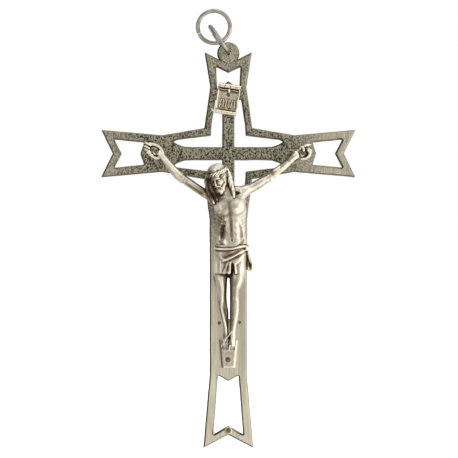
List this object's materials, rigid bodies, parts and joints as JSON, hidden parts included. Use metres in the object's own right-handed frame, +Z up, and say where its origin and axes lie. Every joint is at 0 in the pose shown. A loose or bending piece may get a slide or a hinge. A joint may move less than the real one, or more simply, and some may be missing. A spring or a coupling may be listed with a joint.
{
  "type": "hanging crucifix",
  "caption": "Openwork metal cross with fishtail ends, a cast figure, small scroll and footrest, hung from a lug by linked wire rings.",
  "frame": {"origin": "on the plate's flat back face, where the middle lines of the upright and the crossbar meet", "axes": "+X along the crossbar, to the right as seen from the front; +Y out of the plate's back; +Z up the upright"},
  "size_m": [0.0708, 0.0152, 0.122],
  "materials": {
    "plate_metal": "antique silver plating with a fine speckled grain above and brushed vertical lines below",
    "figure_metal": "polished antique silver with dark patina in the recesses",
    "scroll_metal": "antique silver, matt field with bright rims",
    "footrest_metal": "satin antique silver with bright bevels",
    "nail_metal": "darkened antique silver",
    "ring_wire": "bright drawn wire, lightly worn"
  },
  "bodies": {
    "cross": {"cross_plate": "plate_metal", "corpus": "figure_metal", "title_scroll": "scroll_metal", "footrest": "footrest_metal", "title_nail": "nail_metal", "left_hand_nail": "nail_metal", "right_hand_nail": "nail_metal", "foot_nail": "nail_metal", "footrest_nail": "nail_metal"},
    "link": {"link_ring": "ring_wire"},
    "hanger": {"hanging_ring": "ring_wire"}
  },
  "joints": [
    {"name": "link_swing", "type": "hinge", "parent": "cross", "child": "link", "pos_m": [0, -0.001, 0.02791], "axis": [0, 1, 0], "range_deg": [-19, 76]},
    {"name": "hanging_flop", "type": "hinge", "parent": "link", "child": "hanger", "pos_m": [-0.00222, -0.001, 0.03116], "axis": [0.9177, 0, 0.3972], "range_deg": [-90, 90]}
  ]
}
